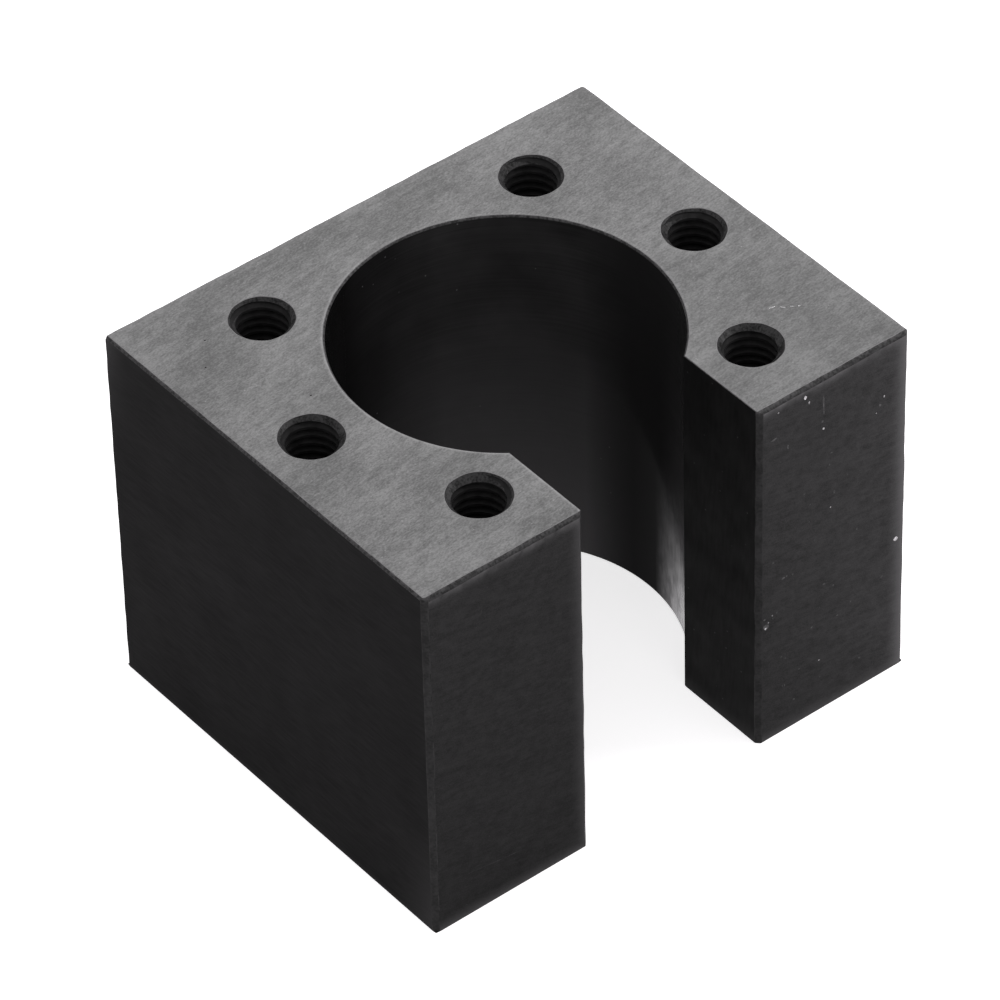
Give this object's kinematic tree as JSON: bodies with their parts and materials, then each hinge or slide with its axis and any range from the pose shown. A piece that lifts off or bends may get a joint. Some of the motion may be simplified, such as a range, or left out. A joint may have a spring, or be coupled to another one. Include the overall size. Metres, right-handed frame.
{
  "type": "ball screw nut housing",
  "caption": "Black machined block that carries a flanged ball screw nut: a bore open to one side through a mouth, and tapped holes for the nut's flange and the carriage.",
  "frame": {"origin": "on the screw axis at the bottom face, which is also the middle of the block's outline", "axes": "+Z along the screw axis towards the face that the nut's flange rests on, -Y out through the mouth, +Y out of the rear mounting face, X across the block's width"},
  "size_m": [0.048, 0.04, 0.035],
  "materials": {
    "blackened_steel": "satin"
  },
  "bodies": {
    "root": {"housing": "blackened_steel"}
  },
  "joints": []
}
